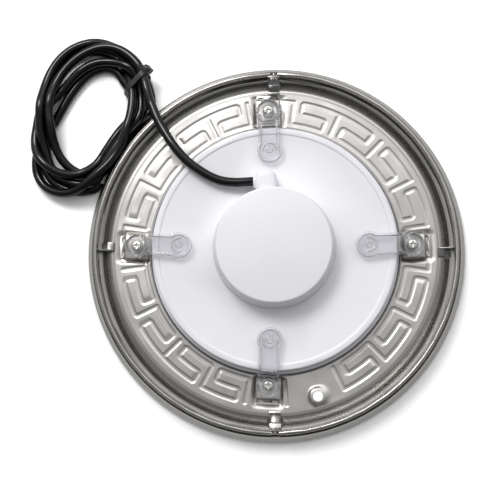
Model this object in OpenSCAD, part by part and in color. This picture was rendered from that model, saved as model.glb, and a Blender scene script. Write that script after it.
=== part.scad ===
// Underwater pool light, lying face down: +Z points to its rear, z = 0 is the front bead of the face ring.
// Clock names (12, 3, 6, 9) give places as seen from the rear, with 12 along +Y.

/* [Face ring] */
// Inside diameter of the lamp opening
opening_d = 176.8; // [172:0.2:180]
// Width of the plate between the opening and the trough
plate_w = 27.9; // [26:0.1:30]
// Thickness of the pressed sheet
sheet_t = 1; // [0.8:0.1:1.2]
// Height of the plate's rear face above the front bead
plate_z = 9.4; // [8.8:0.1:10.2]
// Height of the trough's rear face above the front bead
trough_z = 6.5; // [6:0.1:7]
// Height of the outer wall's free edge
rim_z = 10.8; // [9.8:0.1:12]
// How far the outer wall leans in towards its free edge
rim_lean = 4.1; // [3.6:0.1:4.6]
// Width of the trough between the plate and the outer wall
trough_w = 13.9; // [13:0.1:15]
// How far the ring's front edge stands outside the trough
flank_w = 4.3; // [3.8:0.1:5]
// Width of the front lip that stops the lens
lip_w = 6.5; // [5:0.1:8]
// Height of the front lip's front face above the front bead
lip_z = 1; // [0.6:0.1:1.4]

/* [Key pattern] */
// Number of cells in the key pattern round the plate
key_count = 20; // [16:1:22]
// Width of the pattern's pressed channels
key_w = 2.6; // [2:0.1:3]
// Depth of those channels
key_depth = 0.8; // [0.4:0.1:0.8]
// Distance of the pattern from the plate's inner edge
key_in = 4.1; // [3.6:0.1:5]
// Distance of the pattern from the plate's outer edge
key_out = 7; // [6:0.1:8]

/* [Screw hole] */
// Diameter of the hole for the screw that holds the light in its niche
pilot_d = 7; // [6:0.1:8]
// Distance of that hole from the plate's outer edge
pilot_inset = 9.4; // [8.4:0.1:11]
// Clock angle of that hole
pilot_angle = 163.9; // [158:0.1:168]
// Height of the cone pressed around it
pilot_rise = 2; // [1.4:0.1:2.6]

/* [Snap band] */
// Height of the snap band's crest above the front bead
band_z = 15.6; // [14.8:0.1:17]
// Thickness of the band's sheet
band_t = 0.9; // [0.7:0.05:1]
// Width of the notches in the band at 12 and 6
notch_w = 5.4; // [4.5:0.1:6.5]
// Width of the two spring clips
clip_w = 8; // [7:0.1:9]
// Thickness of the spring clips
clip_t = 0.5; // [0.4:0.05:0.6]
// Diameter of the holes behind the spring clips
clip_hole_d = 12; // [11:0.1:13]
// Thickness of the two locating fins
fin_t = 1.2; // [1:0.1:1.5]
// Diameter of the holes beside the locating fins
fin_hole_d = 6.6; // [5.6:0.1:7]

/* [Clamps] */
// Distance of the clamp screws from the edge of the opening
screw_inset = 8; // [7.4:0.1:9]
// Height of the clamp seats' decks above the plate
deck_rise = 2.4; // [1.8:0.1:3]
// Thickness of the clamp seats' sheet
deck_t = 1.2; // [1:0.1:1.5]
// Width of the clamp seats
deck_w = 16; // [14:0.5:17]
// Depth of the pockets pressed for the clamp seats
pocket_depth = 1.5; // [1:0.1:1.8]
// Distance from a clamp's screw to its inner end
clamp_reach = 39.5; // [37:0.5:41]
// Width of a clamp's arm
arm_w = 14.6; // [13:0.1:16]
// Diameter of a clamp's round inner end
head_d = 17.7; // [16.6:0.1:18.4]
// Height of a clamp's ribbed arm
arm_h = 4.5; // [3.6:0.1:5.5]
// Thickness of a clamp's foot
foot_t = 2.95; // [2.4:0.05:3.4]
// Diameter of the clamp screws' thread
screw_d = 4; // [3.8:0.1:4.2]
// Diameter of the clamp screws' heads
screw_head_d = 8; // [7.4:0.1:8.6]

/* [Lamp] */
// Thickness of the gasket between lip and lens
gasket_t = 1; // [0.8:0.1:1.5]
// Thickness of the lens at its edge
lens_t = 3; // [2.6:0.1:3.6]
// Depth of the rear shell behind the lens
shell_h = 15.8; // [15:0.1:17]
// Wall of the rear shell
shell_wall = 3; // [2.4:0.1:3.4]
// Width of the rear shell's flange outside its body
flange_w = 1.8; // [1.4:0.1:2.2]
// Thickness of that flange
flange_t = 3.3; // [2.8:0.1:3.6]
// Depth of the shallow dish in the shell's rear face
dish_depth = 0.8; // [0.5:0.1:1.2]
// Width of the raised rim around that dish
dish_rim_w = 4.8; // [4:0.1:6]
// Distance of the junction cap's foot from the edge of the dish
cap_inset = 37.6; // [36:0.2:41]
// Height of the junction cap above the dish
cap_h = 16.2; // [15:0.1:18]
// How much smaller in radius the junction cap's top is
cap_draft = 3; // [2:0.1:4]
// Wall of the junction cap
cap_wall = 2.6; // [2.2:0.1:3]

/* [Light board] */
// Gap between the light board's edge and the shell's wall
board_gap = 7.2; // [3:0.1:12]
// Thickness of both boards
board_t = 1.6; // [1.2:0.1:2]
// Length of the posts that carry the light board
post_h = 4.4; // [4:0.1:5]
// Gap between the driver board's edge and the junction cap's top edge, inside the wall
driver_gap = 5.5; // [3.5:0.1:8]

/* [Cable] */
// Diameter of the cable
cable_d = 6.5; // [6:0.1:7]
// Width of the cable tie
tie_w = 4; // [3:0.1:5]
// Thickness of the cable tie
tie_t = 1.2; // [1:0.1:1.5]

/* [Hidden] */
$fn = 96;

// Clearances
slip = 0.05; // faces that turn on each other
rub = 0.08; // a screw's shank in a clamp's bore
seat = 0.3; // a clamp's arm above the lamp it holds
fit_gap = 0.4; // the lamp in its opening
crevice = 0.7; // the band inside the outer wall
eps = 0.01; // overlap of cutting tools

// Face ring, worked out along the middle of its sheet
half_t = sheet_t / 2;
opening_r = opening_d / 2;
collar_r = opening_r + half_t;
plate_r = opening_r + plate_w;
trough_in_r = plate_r + trough_w / 2;
trough_out_r = plate_r + trough_w;
ring_r = trough_out_r + flank_w + half_t;
rim_r = ring_r - half_t - rim_lean;
pilot_r = plate_r - pilot_inset;
plate_mid_z = plate_z - half_t;
trough_mid_z = trough_z - half_t;

// Key pattern: its three circles, where its first cell starts, the wall under its channels, the radius of
// their turns, and the cells that are turned over or left out
key_low_r = opening_r + key_in;
key_top_r = plate_r - key_out;
key_mid_r = (key_low_r + key_top_r) / 2;
key_start = 8.3;
key_pitch = 360 / key_count;
key_wall = 0.7;
key_turn_r = key_w / 2 + key_wall + 0.1;
key_turned = [1, 12, 13, 18];
key_left_out = [8];

// Snap band
band_r = rim_r - half_t - crevice;
band_hem = 2.1;
band_in_r = band_r - band_t - band_hem;
clip_hinge_z = band_z - 0.6;
clip_valley_r = band_r - 7.7;
clip_tip_r = clip_valley_r - 8.1;
clip_valley_z = trough_z + 0.9;
clip_tip_z = plate_z + 4;
clip_hole_r = clip_valley_r;

// Clamps: the seats' clock angles, and how far each screw is from the common circle
seat_angle = [357.7, 88.9, 182.7, 271.3];
seat_shift = [3.3, 0, -0.9, 0.8];
function screw_r(i) = opening_r + screw_inset + seat_shift[i];
pocket_z = plate_z - pocket_depth;
pocket_w = 20;
pocket_in_r = opening_r + 1.4;
pocket_out = 14.2;
deck_z = plate_z + deck_rise;
deck_out = 9;
leg_r = pocket_in_r + 0.3 + deck_t / 2;
foot_r = 8.6;
riser_r = 9;
riser_in_r = 6.2;
riser_half_angle = 62;
shank_r = screw_d / 2;
foot_top_z = deck_z + slip + foot_t;
washer_z = foot_top_z + slip;
washer_t = 0.8;
spring_washer_t = 1.1;
screw_head_z = washer_z + washer_t + spring_washer_t;
screw_head_h = 2.6;
screw_tip_z = pocket_z + 0.4;

// Lamp
lip_rear_z = lip_z + sheet_t;
lip_edge_r = collar_r - lip_w;
lens_z = lip_rear_z + gasket_t;
flange_z = lens_z + lens_t;
flange_r = opening_r - fit_gap;
lamp_z = flange_z + shell_h;
shell_base_r = flange_r - flange_w;
shell_r = shell_base_r - 0.7;
dish_z = lamp_z - dish_depth;
dish_r = shell_r - dish_rim_w;
cap_r = dish_r - cap_inset;
cap_top_r = cap_r - cap_draft;
cap_top_z = dish_z + cap_h;
spigot_r = cap_r - cap_wall - 0.9;
spigot_wall = 2;
spigot_h = 2.4;
board_z = dish_z - shell_wall - post_h;
board_r = shell_base_r - shell_wall - board_gap;
post_r = board_r - 6;
post_count = 6;
chip_pitch = (post_r - 7) / 3;
driver_z = cap_top_z - cap_wall - 5 - board_t;
driver_r = cap_top_r - cap_wall - driver_gap;
driver_post_r = driver_r - 5;
wire_r = 2.8; // the passage for the cable's cores
arm_z = lamp_z + seat;

// Gland, beside the cap, with the cable's first point in its mouth
gland_x = -5.7;
gland_y = cap_r + 2.6;
gland_r = 8;
gland_axis_z = dish_z + 6;
gland_top_z = gland_axis_z + 6.2;
socket_r = cable_d / 2 + 0.6;
mouth_r = cable_d / 2 + 1.4;
mouth_x = -14.2;
socket_depth = 5;

// The cable's route from inside the gland's mouth to the coil
cable_route = [[-9.5, 45.7, 27], [-16, 45.7, 27], [-24, 45.3, 26.9], [-31, 45.6, 26.7], [-38, 47, 26.5],
    [-45, 50, 26.2], [-52, 54.3, 26], [-59.5, 60, 25.8], [-66.4, 67, 25.4], [-72.5, 75, 24.6],
    [-77.6, 83.2, 23.2], [-81.2, 89.4, 21.6], [-84.2, 95.4, 20], [-86.6, 101, 19.1], [-88.8, 106.6, 18.4],
    [-90.4, 111, 17.6]];
// The coil: an oval of wound cable that leans on the ring's outer wall
coil_centre = [-134, 101];
coil_a = 50;
coil_b = 36.5;
coil_tilt = 74;
coil_w = 21;
coil_h = 21;
tie_angle = -47;
tie_gap = 0.15;

// Sheet metal

function unit(v) = v / norm(v);
function left(v) = [-v.y, v.x];
function reversed(list) = [for (i = [len(list) - 1:-1:0]) list[i]];
// The arc of radius r that rounds corner b of the path a, b, c, in steps of up to so many degrees
function corner(a, b, c, r, step) =
    let (u = unit(a - b), w = unit(c - b), half = acos(u * w) / 2)
    (r == 0 || half > 89) ? [b] :
    let (centre = b + unit(u + w) * r / sin(half),
        from = b + u * r / tan(half) - centre,
        to = b + w * r / tan(half) - centre,
        start = atan2(from.y, from.x),
        turn = (atan2(to.y, to.x) - start + 540) % 360 - 180,
        steps = max(2, ceil(abs(turn) / step)))
    [for (i = [0:steps]) centre + r * [cos(start + turn * i / steps), sin(start + turn * i / steps)]];
// A path with each inner corner rounded by the third number of its point
function rounded(path, step = 22) = [for (i = [0:len(path) - 1])
    let (b = [path[i][0], path[i][1]])
    each (i == 0 || i == len(path) - 1) ? [b] :
        corner([path[i - 1][0], path[i - 1][1]], b, [path[i + 1][0], path[i + 1][1]], path[i][2], step)];
// A path moved sideways by d, square at its ends
function beside(path, d) = [for (i = [0:len(path) - 1])
    let (n = i == 0 ? left(unit(path[1] - path[0])) : left(unit(path[i] - path[i - 1])),
        m = i == len(path) - 1 ? n : left(unit(path[i + 1] - path[i])),
        mid = unit(n + m))
    path[i] + mid * d / (mid * n)];
// The closed outline of a strip of thickness t along a path
function strip(path, t) = concat(beside(path, t / 2), reversed(beside(path, -t / 2)));

// Turns its children from 12 to a clock angle
module at(angle) {
    rotate([0, 0, -angle]) children();
}
// A strip bent in the radial plane, its path given as radius and height
module radial_strip(path, t, width) {
    rotate([90, 0, 90]) linear_extrude(width, center = true) polygon(strip(path, t));
}
// A box between two radii, centred on the radial line
module radial_box(r0, r1, width, z0, z1) {
    translate([-width / 2, r0, z0]) cube([width, r1 - r0, z1 - z0]);
}
// A wall that follows a circle, centred on the direction +Y
module arc_wall(r_in, r_out, z0, z1, half_angle) {
    rotate([0, 0, 90 - half_angle]) rotate_extrude(angle = 2 * half_angle)
        translate([r_in, z0]) square([r_out - r_in, z1 - z0]);
}
module tube(r_out, r_in, z0, z1) {
    rotate_extrude() translate([r_in, z0]) square([r_out - r_in, z1 - z0]);
}

// Face ring

module ring_sheet() {
    path = rounded([
        [lip_edge_r, lip_z + half_t, 0],
        [collar_r, lip_z + half_t, 0.9],
        [collar_r, plate_mid_z, 1.2],
        [plate_r, plate_mid_z, 3],
        [trough_in_r, trough_mid_z, 3],
        [trough_out_r - 0.6, trough_mid_z, 1],
        [trough_out_r + 0.7, half_t, 1],
        [ring_r - half_t, half_t, 1.6],
        [ring_r - half_t, 4, 3],
        [rim_r, rim_z, 0]]);
    rotate_extrude($fn = 180) polygon(strip(path, sheet_t));
}
// A point of cell k of the key pattern, f of the way to the next cell
function key_point(k, f, r, turn_r) =
    let (a = key_start + (k + f) * key_pitch)
    [r * sin(a), r * cos(a), turn_r];
// The middle line of cell k's channel, starting with the radial bar that every cell has
function key_path(k, grow) =
    let (end = key_w / 2 + grow,
        turned = len(search(k, key_turned)) > 0,
        from = turned ? key_low_r - end : key_top_r + end,
        near = turned ? key_top_r : key_low_r,
        far = turned ? key_low_r : key_top_r,
        turns = len(search(k, key_left_out)) > 0 ? [[0, from], [0, key_low_r - end]] :
            [[0, from], [0, near], [0.75, near], [0.75, key_mid_r], [0.17, key_mid_r], [0.17, far],
                [1, far]],
        last = len(turns) - 1)
    [for (i = [0:last])
        let (a = turns[i], b = turns[min(i + 1, last)])
        each concat([key_point(k, a[0], a[1], i == 0 || i == last ? 0 : key_turn_r)],
            i < last && a[1] == b[1] ?
                [for (j = [1:3]) key_point(k, a[0] + (b[0] - a[0]) * j / 4, a[1], 0)] : [])];
// The channels of the key pattern, grown by a wall, between two heights
module key_pattern(grow, z0, z1) {
    for (k = [0:key_count - 1]) translate([0, 0, z0]) linear_extrude(z1 - z0)
        polygon(strip(rounded(key_path(k, grow), 45), key_w + 2 * grow));
}
module pocket_floor(i) {
    at(seat_angle[i]) radial_box(opening_r + half_t, screw_r(i) + pocket_out + sheet_t,
        pocket_w + 2 * sheet_t, pocket_z - sheet_t, plate_mid_z);
}
module pocket(i) {
    at(seat_angle[i]) radial_box(pocket_in_r, screw_r(i) + pocket_out, pocket_w, pocket_z, plate_z + 1);
}
module pilot_cone() {
    base_r = pilot_d / 2 + 4;
    top_r = pilot_d / 2 + 1.4;
    rotate_extrude() polygon([[pilot_d / 2, plate_z - sheet_t], [base_r, plate_z - sheet_t],
        [base_r, plate_z], [top_r, plate_z + pilot_rise], [pilot_d / 2, plate_z + pilot_rise]]);
}
module pilot_hollow() {
    base_r = pilot_d / 2 + 4;
    rotate_extrude() polygon([[0, plate_z - sheet_t - 1], [base_r - sheet_t, plate_z - sheet_t - 1],
        [base_r - sheet_t, plate_z - sheet_t], [pilot_d / 2 + 0.6, plate_z + pilot_rise - 1.4],
        [0, plate_z + pilot_rise - 1.4]]);
}
module face_ring() {
    channel_z = plate_z - key_depth;
    color([0.72, 0.71, 0.69]) difference() {
        union() {
            difference() {
                union() {
                    ring_sheet();
                    key_pattern(key_wall, channel_z - key_wall, plate_mid_z);
                }
                key_pattern(0, channel_z, plate_z + 1);
            }
            for (i = [0:3]) pocket_floor(i);
            at(pilot_angle) translate([0, pilot_r, 0]) pilot_cone();
        }
        for (i = [0:3]) pocket(i);
        at(pilot_angle) translate([0, pilot_r, 0]) {
            pilot_hollow();
            cylinder(r = pilot_d / 2, h = plate_z + pilot_rise + 1);
        }
        for (angle = [0, 180]) at(angle) translate([0, clip_hole_r, 3]) cylinder(d = clip_hole_d, h = 10);
        for (angle = [90, 270]) at(angle) translate([fin_hole_d / 2 + 0.7, clip_hole_r, 3])
            cylinder(d = fin_hole_d, h = 10);
    }
}

// Snap band with its notches and tongues

module band_section() {
    crest_r = band_hem / 2 - 0.1;
    mid_r = band_r - band_t / 2;
    path = rounded([
        [mid_r - 4, trough_z + band_t / 2, 0],
        [mid_r, trough_z + band_t / 2, 0.7],
        [mid_r, band_z - band_t / 2, crest_r],
        [mid_r - band_hem, band_z - band_t / 2, crest_r],
        [mid_r - band_hem, band_z - 3.4, 0]]);
    polygon(strip(path, band_t));
}
module snap_band() {
    color([0.66, 0.65, 0.63]) {
        difference() {
            rotate_extrude($fn = 180) band_section();
            for (angle = [0, 180]) at(angle)
                radial_box(band_in_r - 2, band_r + 1, notch_w, trough_z + 3.2, band_z + 1);
        }
        for (angle = [0, 180]) at(angle)
            radial_box(band_in_r + 0.6, band_r - band_t, 1, trough_z + band_t, band_z - 1.2);
    }
}

// Spring clips, hung from the band's crest

module spring_clip() {
    hang_r = band_in_r - clip_t / 2 - slip;
    path = rounded([
        [hang_r, clip_hinge_z, 0],
        [hang_r - 1, clip_valley_z + 2, 1],
        [clip_valley_r, clip_valley_z, 1],
        [clip_tip_r + 0.8, clip_tip_z, 0.8],
        [clip_tip_r - 0.6, clip_tip_z - 0.6, 0]]);
    radial_strip(path, clip_t, clip_w);
}
module spring_clip_12() {
    color([0.6, 0.59, 0.57]) at(0) spring_clip();
}
module spring_clip_6() {
    color([0.6, 0.59, 0.57]) at(180) spring_clip();
}

// Locating fins: an upright fin and the tab folded from its inner end

module locating_fin() {
    fin_in = clip_hole_r - 2;
    fin_foot_z = trough_z + band_t;
    tab_l = 4.5;
    tab_w = 5.4;
    rotate([90, 0, 90]) linear_extrude(fin_t, center = true) polygon([
        [fin_in - tab_l, plate_z + fin_t], [fin_in - tab_l, plate_z + 2 * fin_t], [fin_in, plate_z + 3.2],
        [band_in_r - 1.6, band_z - 1], [band_in_r - slip, band_z - 1.6],
        [band_in_r - slip, fin_foot_z + 0.6], [band_in_r - 0.6, fin_foot_z], [fin_in + 4.2, fin_foot_z],
        [fin_in, plate_z + fin_t]]);
    translate([fin_t / 2, fin_in - tab_l, plate_z + fin_t]) cube([tab_w, tab_l, fin_t]);
    translate([fin_t / 2 + tab_w - fin_t, fin_in - tab_l, plate_z]) cube([fin_t, tab_l, fin_t + eps]);
}
module locating_fin_3() {
    color([0.5, 0.49, 0.48]) at(90) locating_fin();
}
module locating_fin_9() {
    color([0.5, 0.49, 0.48]) at(270) locating_fin();
}

// Clamp seats: bridges of sheet welded into the pockets, with a threaded collar

module clamp_seat(i) {
    r = screw_r(i);
    foot_in_r = r + deck_out + 2.4;
    deck_mid_z = deck_z - deck_t / 2;
    foot_mid_z = pocket_z + deck_t / 2;
    collar_z = pocket_z + 0.7;
    tongue_w = 6;
    window_w = (deck_w - tongue_w) / 2 - 1.2;
    path = rounded([
        [leg_r, pocket_z, 0],
        [leg_r, deck_mid_z, 1],
        [r + deck_out, deck_mid_z, 1.5],
        [foot_in_r, foot_mid_z, 1],
        [r + pocket_out - 0.6, foot_mid_z, 0]]);
    color([0.74, 0.73, 0.71]) at(seat_angle[i]) difference() {
        union() {
            radial_strip(path, deck_t, deck_w);
            translate([0, r, collar_z]) cylinder(r = shank_r + 1.4, h = deck_z - deck_t - collar_z + eps);
        }
        for (side = [-1, 1]) translate([side * (tongue_w + window_w) / 2, 0, 0])
            radial_box(r + deck_out, r + deck_out + 3.4, window_w, 0, deck_z - deck_t + 0.1);
        translate([0, r, 0]) cylinder(r = shank_r + slip, h = deck_z + 1);
    }
}
module clamp_seat_12() { clamp_seat(0); }
module clamp_seat_3() { clamp_seat(1); }
module clamp_seat_6() { clamp_seat(2); }
module clamp_seat_9() { clamp_seat(3); }

// Clamps: clear mouldings that swivel on their screws and press on the lamp

module clamp_outline(grow) {
    head_y = head_d / 2 - clamp_reach;
    translate([0, head_y]) circle(r = head_d / 2 + grow);
    translate([-arm_w / 2 - grow, head_y]) square([arm_w + 2 * grow, -head_y - riser_in_r]);
}
module clamp() {
    wall = 1.8;
    head_y = head_d / 2 - clamp_reach;
    floor_z = arm_z + arm_h / 2;
    bore_z = deck_z + slip;
    difference() {
        union() {
            translate([0, 0, bore_z]) cylinder(r = foot_r, h = foot_t);
            arc_wall(foot_r - 1.4, foot_r, bore_z, foot_top_z + 3.2, 96);
            rotate([0, 0, 180]) arc_wall(riser_in_r, riser_r, bore_z, arm_z + eps, riser_half_angle);
            translate([0, 0, arm_z]) linear_extrude(arm_h) clamp_outline(0);
        }
        translate([0, 0, floor_z]) linear_extrude(arm_h) intersection() {
            clamp_outline(-wall);
            translate([0, -clamp_reach / 2 - riser_r - 1]) square([head_d, clamp_reach], center = true);
        }
        translate([0, 0, foot_top_z]) cylinder(r = riser_in_r, h = arm_z + arm_h);
        cylinder(r = shank_r + rub, h = foot_top_z + 1);
    }
    translate([0, head_y, 0]) {
        translate([0, 0, floor_z - eps]) cylinder(r = 2.3, h = arm_h / 2 - 0.6);
        arc_wall(4.4, 5.4, floor_z - eps, arm_z + arm_h - 0.8, 100);
    }
}
module clamp_at(i) {
    color([0.9, 0.91, 0.93, 0.5]) at(seat_angle[i]) translate([0, screw_r(i), 0]) clamp();
}
module clamp_12() { clamp_at(0); }
module clamp_3() { clamp_at(1); }
module clamp_6() { clamp_at(2); }
module clamp_9() { clamp_at(3); }

// Clamp screws and their washers

module at_screws() {
    for (i = [0:3]) at(seat_angle[i]) translate([0, screw_r(i), 0]) children();
}
module pan_screw(shank, head, z_tip, z_head, head_h) {
    difference() {
        union() {
            translate([0, 0, z_tip]) cylinder(r = shank, h = z_head - z_tip + eps);
            rotate_extrude() polygon([[0, z_head], [head, z_head], [head, z_head + 0.45 * head_h],
                [head * 0.92, z_head + 0.72 * head_h], [head * 0.7, z_head + 0.92 * head_h],
                [head * 0.35, z_head + head_h], [0, z_head + head_h]]);
        }
        for (turn = [0, 90]) rotate([0, 0, turn])
            translate([-head * 0.56, -head * 0.11, z_head + 0.4 * head_h])
                cube([head * 1.12, head * 0.22, head_h]);
    }
}
module clamp_screws() {
    color([0.8, 0.79, 0.77]) at_screws()
        pan_screw(shank_r, screw_head_d / 2, screw_tip_z, screw_head_z, screw_head_h);
}
module spring_washers() {
    color([0.45, 0.44, 0.43]) at_screws() difference() {
        translate([0, 0, washer_z + washer_t]) tube(shank_r + 1.7, shank_r + 0.15, 0, spring_washer_t);
        rotate([0, 0, 30]) translate([0, 0, washer_z + washer_t - 1])
            cube([shank_r + 3, 0.8, spring_washer_t + 2]);
    }
}
module flat_washers() {
    color([0.78, 0.77, 0.75]) at_screws()
        tube(shank_r + 2.5, shank_r + 0.15, washer_z, washer_z + washer_t);
}

// Lamp

module lens_gasket() {
    color([0.25, 0.25, 0.26]) tube(flange_r - 0.2, lip_edge_r + 0.4, lip_rear_z, lens_z);
}
module front_lens() {
    window_r = lip_edge_r - 0.6;
    recess_r = window_r - 3;
    color([0.85, 0.88, 0.9, 0.6]) rotate_extrude($fn = 180) polygon([[0, lip_z], [window_r - 0.8, lip_z],
        [window_r, lip_z + 0.8], [window_r, lens_z], [flange_r, lens_z], [flange_r, flange_z],
        [recess_r, flange_z], [recess_r - 1, flange_z - 1.8], [0, flange_z - 1.8]]);
}
module rear_shell() {
    inner_r = shell_base_r - shell_wall;
    inner_z = dish_z - shell_wall;
    color([0.93, 0.93, 0.95]) difference() {
        union() {
            rotate_extrude($fn = 180) polygon(concat(
                [[0, flange_z], [flange_r, flange_z], [flange_r, flange_z + flange_t],
                    [shell_base_r, flange_z + flange_t]],
                [for (a = [0:22.5:90]) [shell_r - 1 + cos(a), lamp_z - 1 + sin(a)]],
                [[dish_r + dish_depth, lamp_z], [dish_r, dish_z], [0, dish_z]]));
            tube(spigot_r, spigot_r - spigot_wall, dish_z - eps, dish_z + spigot_h);
        }
        difference() {
            translate([0, 0, flange_z - 1]) cylinder(r = inner_r, h = inner_z - flange_z + 1);
            for (k = [0:post_count - 1]) rotate([0, 0, 30 + k * 360 / post_count])
                translate([post_r, 0, board_z]) cylinder(r = 3.6, h = post_h + 1);
        }
        for (k = [0:post_count - 1]) rotate([0, 0, 30 + k * 360 / post_count])
            translate([post_r, 0, board_z - 1]) cylinder(r = 1.3, h = post_h + 1);
        cylinder(r = 15, h = lamp_z + 1);
    }
}
// The cap's outside moved in by a wall, standing on a foot of its own, with an edge of its own radius
module cap_solid(inset, foot_h, edge) {
    top_r = cap_top_r - inset - edge;
    top_z = cap_top_z - inset - edge;
    rotate_extrude($fn = 144) polygon(concat(
        [[0, dish_z - foot_h], [cap_r - inset, dish_z - foot_h], [cap_r - inset, dish_z]],
        [for (a = [0:30:90]) [top_r + edge * cos(a), top_z + edge * sin(a)]],
        [[0, top_z + edge]]));
}
module cap_outside() {
    cap_solid(0, 0, 1.2);
}
module junction_cap() {
    color([0.95, 0.95, 0.97]) {
        difference() {
            cap_outside();
            difference() {
                cap_solid(cap_wall, 1, 0.4);
                for (k = [0:2]) rotate([0, 0, k * 120]) translate([driver_post_r, 0, driver_z + board_t])
                    cylinder(r = 3, h = 20);
            }
            for (k = [0:2]) rotate([0, 0, k * 120]) translate([driver_post_r, 0, driver_z])
                cylinder(r = 1.1, h = 5.4);
            translate([gland_x, cap_top_r - 8, gland_axis_z]) rotate([-90, 0, 0])
                cylinder(r = wire_r, h = 14);
        }
    }
}
module gland_elbow() {
    mouth_len = gland_x - mouth_x;
    dome_h = gland_top_z - gland_axis_z;
    color([0.94, 0.94, 0.96]) difference() {
        union() {
            translate([gland_x, gland_y, dish_z]) cylinder(r = gland_r, h = gland_axis_z - dish_z);
            translate([gland_x, gland_y, gland_axis_z]) rotate_extrude() polygon(concat(
                [[0, 0], [gland_r, 0]], [for (a = [15:15:90]) [gland_r * cos(a), dome_h * sin(a)]]));
            translate([mouth_x, gland_y, gland_axis_z]) rotate([0, 90, 0]) rotate_extrude() polygon([[0, 0],
                [mouth_r - 0.4, 0], [mouth_r, 0.4], [mouth_r + 1, mouth_len], [0, mouth_len]]);
        }
        cap_outside();
        translate([mouth_x - 1, gland_y, gland_axis_z]) rotate([0, 90, 0])
            cylinder(r = socket_r, h = socket_depth + 1);
        translate([mouth_x, gland_y, gland_axis_z]) rotate([0, 90, 0]) cylinder(r = wire_r, h = mouth_len);
        translate([gland_x, gland_y - gland_r, gland_axis_z]) rotate([-90, 0, 0])
            cylinder(r = wire_r, h = gland_r);
        translate([gland_x, gland_y, gland_axis_z]) sphere(r = wire_r, $fn = 32);
    }
}
module gland_seal() {
    color([0.12, 0.12, 0.12]) translate([mouth_x + 0.3, gland_y, gland_axis_z]) rotate([0, 90, 0])
        tube(socket_r, cable_d / 2 + slip, 0, 3.3);
}

// Boards, the parts on them and their screws

module light_board() {
    color([0.85, 0.85, 0.83]) difference() {
        translate([0, 0, board_z - board_t]) cylinder(r = board_r, h = board_t);
        for (k = [0:post_count - 1]) rotate([0, 0, 30 + k * 360 / post_count])
            translate([post_r, 0, board_z - board_t - 1]) cylinder(r = 1.5, h = board_t + 2);
        translate([0, 0, board_z - board_t - 1]) cylinder(r = 4, h = board_t + 2);
    }
}
module light_chips() {
    color([0.95, 0.85, 0.35]) for (ring = [1:3]) for (k = [0:8 * ring - 1])
        rotate([0, 0, k * 45 / ring]) translate([chip_pitch * ring - 1.4, -1.75, board_z - board_t - 0.9])
            cube([2.8, 3.5, 0.9]);
}
module board_screws() {
    color([0.7, 0.7, 0.7]) for (k = [0:post_count - 1]) rotate([0, 0, 30 + k * 360 / post_count])
        translate([post_r, 0, 0]) mirror([0, 0, 1])
            pan_screw(1.25, 2.5, -(board_z + post_h - 1.2), -(board_z - board_t), 1.5);
}
module driver_board() {
    color([0.1, 0.35, 0.2]) difference() {
        translate([0, 0, driver_z]) cylinder(r = driver_r, h = board_t);
        for (k = [0:2]) rotate([0, 0, k * 120]) translate([driver_post_r, 0, driver_z - 1])
            cylinder(r = 1.4, h = board_t + 2);
    }
}
// Two capacitors, a choke, a transformer and a chip, on the board's front
module driver_parts() {
    can_h = 5;
    choke_h = 4.4;
    transformer = [8, 12, 5.4];
    chip = [9, 7, 2];
    color([0.2, 0.2, 0.25]) {
        for (side = [-1, 1]) translate([-driver_r / 2, side * 0.2 * driver_r, driver_z - can_h])
            cylinder(r = 4, h = can_h);
        rotate([0, 0, -60]) translate([driver_r / 2, 0, driver_z - choke_h]) tube(6, 2.6, 0, choke_h);
        rotate([0, 0, 60])
            translate([driver_r / 2 - transformer.x / 2, -transformer.y / 2, driver_z - transformer.z])
                cube(transformer);
        translate([-chip.x / 2, -chip.y / 2, driver_z - chip.z]) cube(chip);
    }
}
module driver_screws() {
    color([0.7, 0.7, 0.7]) for (k = [0:2]) rotate([0, 0, k * 120]) translate([driver_post_r, 0, 0])
        mirror([0, 0, 1]) pan_screw(1.05, 2.2, -(driver_z + board_t + 3.4), -driver_z, 1.4);
}

// Cable, coil and tie

// Rings of points around the route, joined by quads, with flat ends
module swept(route, r, sides) {
    last = len(route) - 1;
    points = [for (i = [0:last])
        let (ahead = unit(route[min(i + 1, last)] - route[max(i - 1, 0)]),
            out = unit(cross(ahead, [0, 0, 1])),
            up = cross(out, ahead))
        for (k = [0:sides - 1]) route[i] + r * (cos(k * 360 / sides) * out + sin(k * 360 / sides) * up)];
    walls = [for (i = [0:last - 1]) for (k = [0:sides - 1])
        let (a = i * sides + k, b = i * sides + (k + 1) % sides) [a, a + sides, b + sides, b]];
    ends = [[for (k = [0:sides - 1]) k], [for (k = [sides - 1:-1:0]) last * sides + k]];
    polyhedron(points, concat(walls, ends), convexity = 6);
}
module cable() {
    color([0.05, 0.05, 0.06]) swept(cable_route, cable_d / 2, 10);
}
function coil_point(angle, grow) =
    let (u = (coil_a + grow) * cos(angle), v = (coil_b + grow) * sin(angle))
    coil_centre + [u * cos(coil_tilt) - v * sin(coil_tilt), u * sin(coil_tilt) + v * cos(coil_tilt)];
module coil_outline(grow) {
    polygon([for (angle = [0:7.5:352.5]) coil_point(angle, grow)]);
}
// Moves its children to the tie's place, with +X across the coil
module at_tie() {
    normal = [cos(tie_angle) / coil_a, sin(tie_angle) / coil_b];
    place = coil_point(tie_angle, 0);
    translate([place.x, place.y, 0]) rotate([0, 0, coil_tilt + atan2(normal.y, normal.x)]) children();
}
module tie_loop(grow) {
    loop_w = coil_w + 2 * tie_t + 0.6;
    translate([-loop_w / 2 - grow, -tie_w / 2 - grow, -grow])
        cube([loop_w + 2 * grow, tie_w + 2 * grow, coil_h + 2 * tie_t]);
}
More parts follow.
